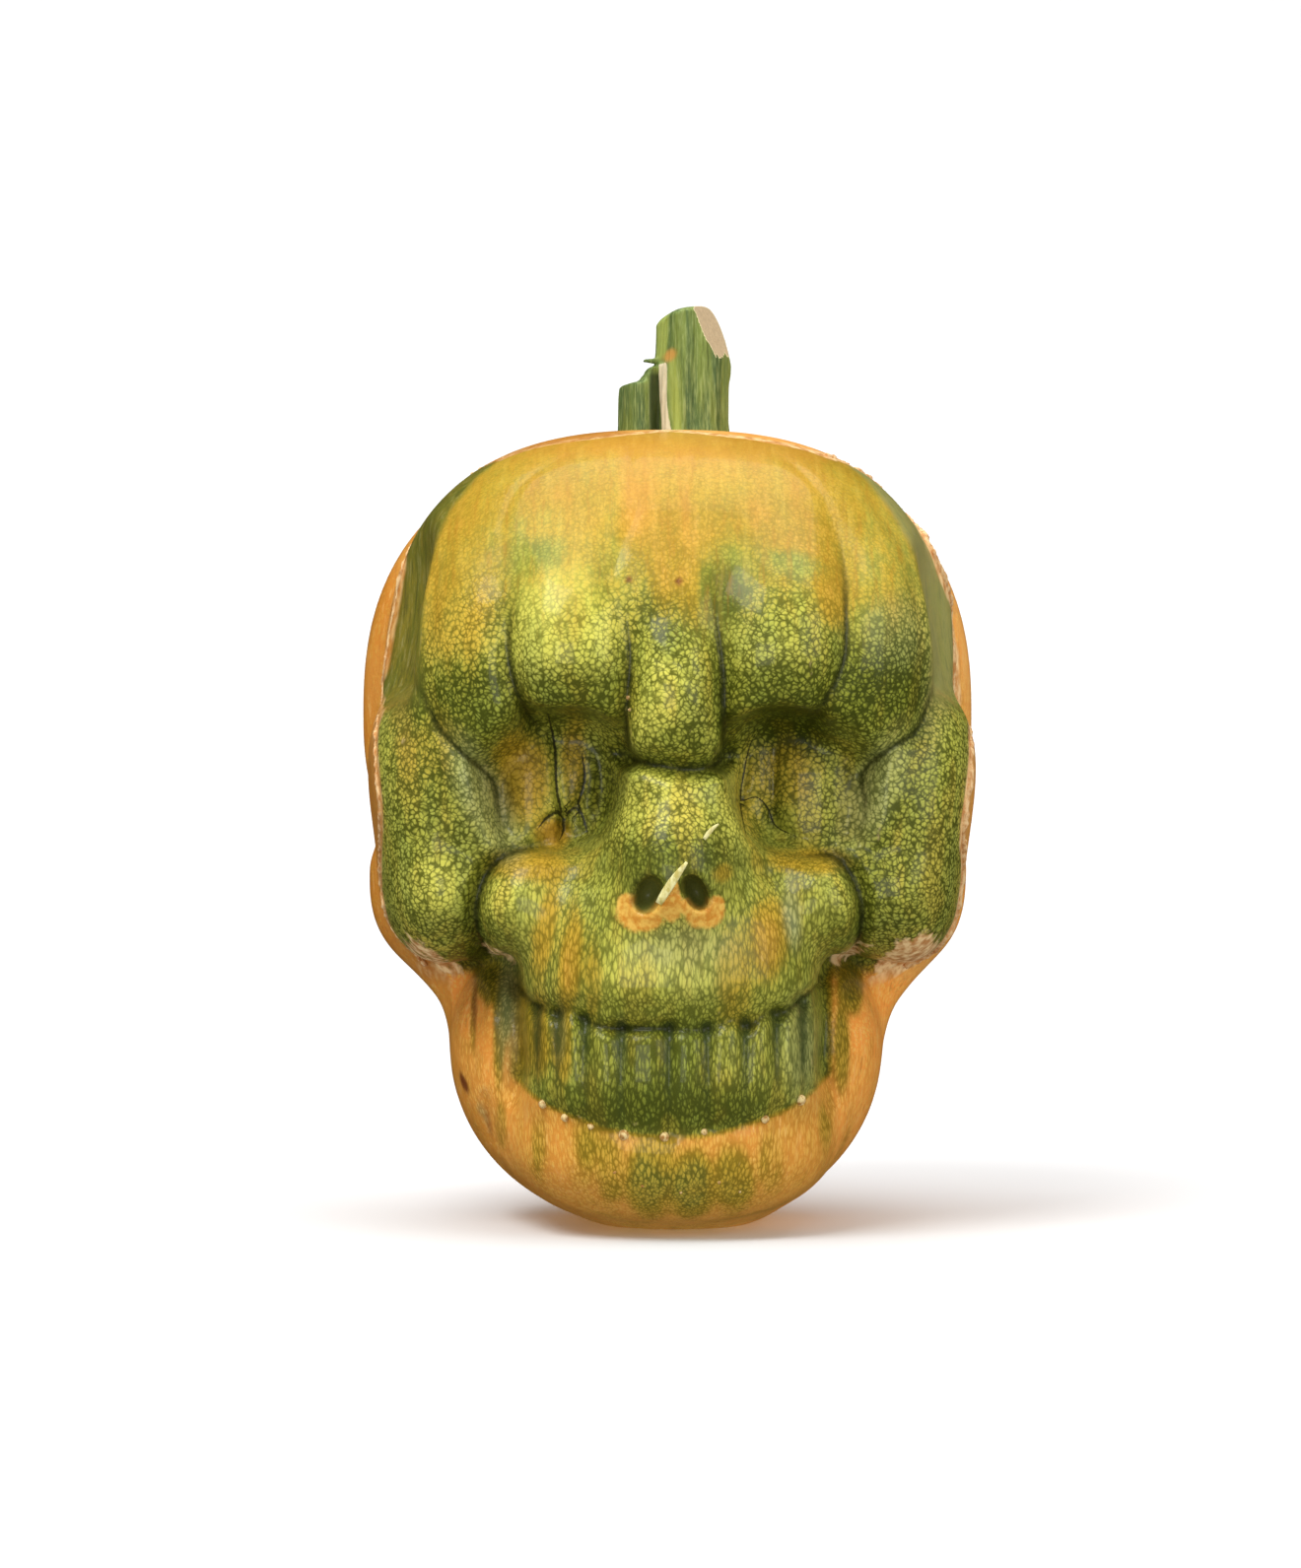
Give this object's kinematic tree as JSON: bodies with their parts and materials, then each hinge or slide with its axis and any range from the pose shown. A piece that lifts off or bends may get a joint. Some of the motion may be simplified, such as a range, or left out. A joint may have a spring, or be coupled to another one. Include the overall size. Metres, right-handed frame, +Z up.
{
  "type": "skull-shaped pumpkin",
  "caption": "Whole pumpkin grown in a two-part mould into the shape of a skull, with brows, eye sockets, nose, teeth and chin pressed into its skin, and a cut ridged stem.",
  "frame": {"origin": "centre of the flattened foot that the fruit rests on", "axes": "+Z up through the stem, the skull's face looks along -Y, +X to the viewer's right"},
  "size_m": [0.188, 0.195, 0.2786],
  "materials": {
    "pumpkin_skin": null,
    "stem_skin": null
  },
  "bodies": {
    "root": {"pumpkin_body": "pumpkin_skin", "stem": "stem_skin"}
  },
  "joints": []
}
